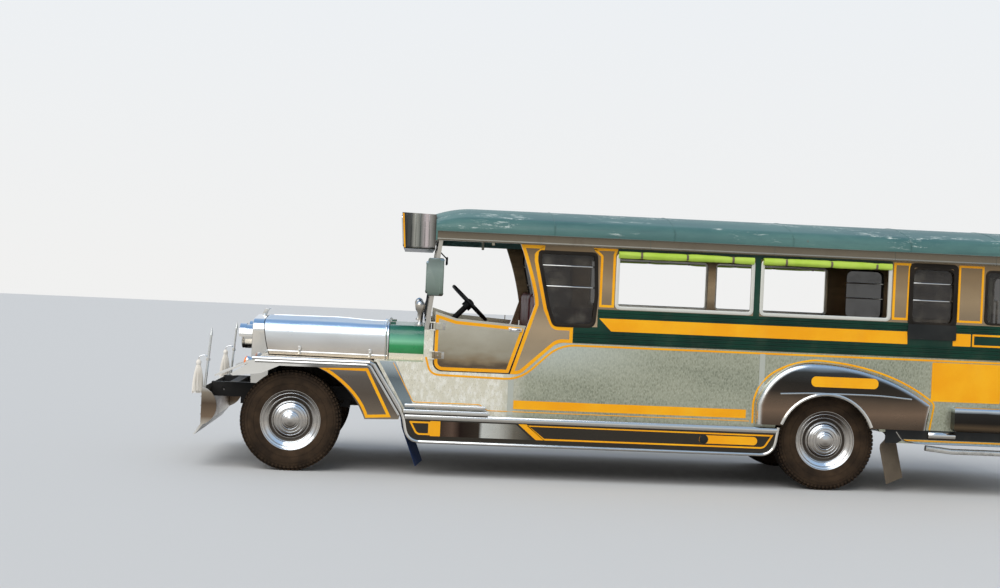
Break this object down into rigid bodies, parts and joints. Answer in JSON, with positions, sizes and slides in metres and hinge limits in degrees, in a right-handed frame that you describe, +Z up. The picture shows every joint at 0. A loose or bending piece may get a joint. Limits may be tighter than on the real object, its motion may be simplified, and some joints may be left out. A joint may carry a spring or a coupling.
{
  "type": "passenger jeepney",
  "caption": "Long open-sided passenger jeepney with an upright nose, half doors, side benches, open rear doorway, entry step and a full-length arched roof.",
  "frame": {"origin": "on the ground under the middle of the vehicle's bounding box", "axes": "+X to the rear, so the nose points along -X; -Y is the driver's left side; +Z up"},
  "size_m": [6.8, 2.0318, 2.03],
  "materials": {
    "frame_black": "satin, dusty",
    "engine_iron": "matte",
    "exhaust_steel": "dull",
    "floor_plate": "worn",
    "polished_steel": "polished",
    "silver_sheet": "swirled, bright",
    "green_paint": "gloss",
    "radiator_core": "satin",
    "lamp_chrome": "polished",
    "roof_green": "faded, chalky",
    "window_glass": "clear",
    "seat_board": "painted",
    "seat_vinyl": "satin vinyl",
    "wheel_rim_black": "satin",
    "streamer_white": "loose",
    "curtain_lime": "soft sheet",
    "tread_plate": "chequered",
    "wheel_chrome": "polished",
    "tyre_rubber": "dusty",
    "knuckle_iron": "matte"
  },
  "bodies": {
    "root": {"chassis_frame": "frame_black", "engine_block": "engine_iron", "leaf_springs": "frame_black", "front_axle": "frame_black", "rear_axle": "frame_black", "propeller_shaft": "frame_black", "fuel_tank": "frame_black", "exhaust": "exhaust_steel", "floor": "floor_plate", "scuttle": "green_paint", "grille_shell": "polished_steel", "radiator": "radiator_core", "head_lamps": "lamp_chrome", "front_fenders": "polished_steel", "running_boards": "silver_sheet", "side_panels": "silver_sheet", "window_walls": "silver_sheet", "rear_fenders": "polished_steel", "rear_wall": "silver_sheet", "roof": "roof_green", "destination_box": "silver_sheet", "windscreen_frame": "polished_steel", "windscreen_glass": "window_glass", "seat_bases": "seat_board", "bench_cushions": "seat_vinyl", "cab_seats": "seat_vinyl", "steering_column": "frame_black", "front_bumper": "polished_steel", "tassels": "streamer_white", "mirrors": "lamp_chrome", "ceiling_rails": "lamp_chrome", "rolled_curtains": "curtain_lime", "corner_bumpers": "polished_steel", "rear_step": "tread_plate"},
    "knuckle_left": {"knuckle_left": "knuckle_iron"},
    "knuckle_right": {"knuckle_right": "knuckle_iron"},
    "steering_wheel": {"steering_wheel": "wheel_rim_black"},
    "hood": {"hood": "polished_steel"},
    "door_left": {"door_left": "silver_sheet"},
    "door_right": {"door_right": "silver_sheet"},
    "wheel_front_left": {"wheel_front_left": "wheel_chrome", "tyre_front_left": "tyre_rubber"},
    "wheel_front_right": {"wheel_front_right": "wheel_chrome", "tyre_front_right": "tyre_rubber"},
    "wheel_rear_left": {"wheel_rear_left": "wheel_chrome", "tyre_rear_left": "tyre_rubber"},
    "wheel_rear_right": {"wheel_rear_right": "wheel_chrome", "tyre_rear_right": "tyre_rubber"}
  },
  "joints": [
    {"name": "steer_left", "type": "hinge", "parent": "root", "child": "knuckle_left", "pos_m": [-2.67, -0.64, 0.375], "axis": [0, 0, 1], "range_deg": [-33, 33]},
    {"name": "spin_front_left", "type": "hinge", "parent": "knuckle_left", "child": "wheel_front_left", "pos_m": [-2.67, -0.755, 0.375], "axis": [0, 1, 0], "continuous": true},
    {"name": "spin_rear_left", "type": "hinge", "parent": "root", "child": "wheel_rear_left", "pos_m": [1.36, -0.75, 0.375], "axis": [0, 1, 0], "continuous": true},
    {"name": "steer_right", "type": "hinge", "parent": "root", "child": "knuckle_right", "pos_m": [-2.67, 0.64, 0.375], "axis": [0, 0, 1], "range_deg": [-33, 33]},
    {"name": "spin_front_right", "type": "hinge", "parent": "knuckle_right", "child": "wheel_front_right", "pos_m": [-2.67, 0.755, 0.375], "axis": [0, 1, 0], "continuous": true},
    {"name": "spin_rear_right", "type": "hinge", "parent": "root", "child": "wheel_rear_right", "pos_m": [1.36, 0.75, 0.375], "axis": [0, 1, 0], "continuous": true},
    {"name": "steering_wheel_turn", "type": "hinge", "parent": "root", "child": "steering_wheel", "pos_m": [-1.36, -0.38, 1.296], "axis": [0.6947, 0, 0.7193], "range_deg": [-500, 500]},
    {"name": "hood_lift", "type": "hinge", "parent": "root", "child": "hood", "pos_m": [-1.97, 0, 1.131], "axis": [0, 1, 0], "range_deg": [0, 50]},
    {"name": "door_left_swing", "type": "hinge", "parent": "root", "child": "door_left", "pos_m": [-1.632, -0.892, 1.0125], "axis": [0, 0, -1], "range_deg": [0, 70]},
    {"name": "door_right_swing", "type": "hinge", "parent": "root", "child": "door_right", "pos_m": [-1.632, 0.892, 1.0125], "axis": [0, 0, 1], "range_deg": [0, 70]}
  ],
  "couplings": [
    {"joint": "steer_right", "follows": "steer_left", "ratio": 1},
    {"joint": "steering_wheel_turn", "follows": "steer_left", "ratio": 15}
  ]
}
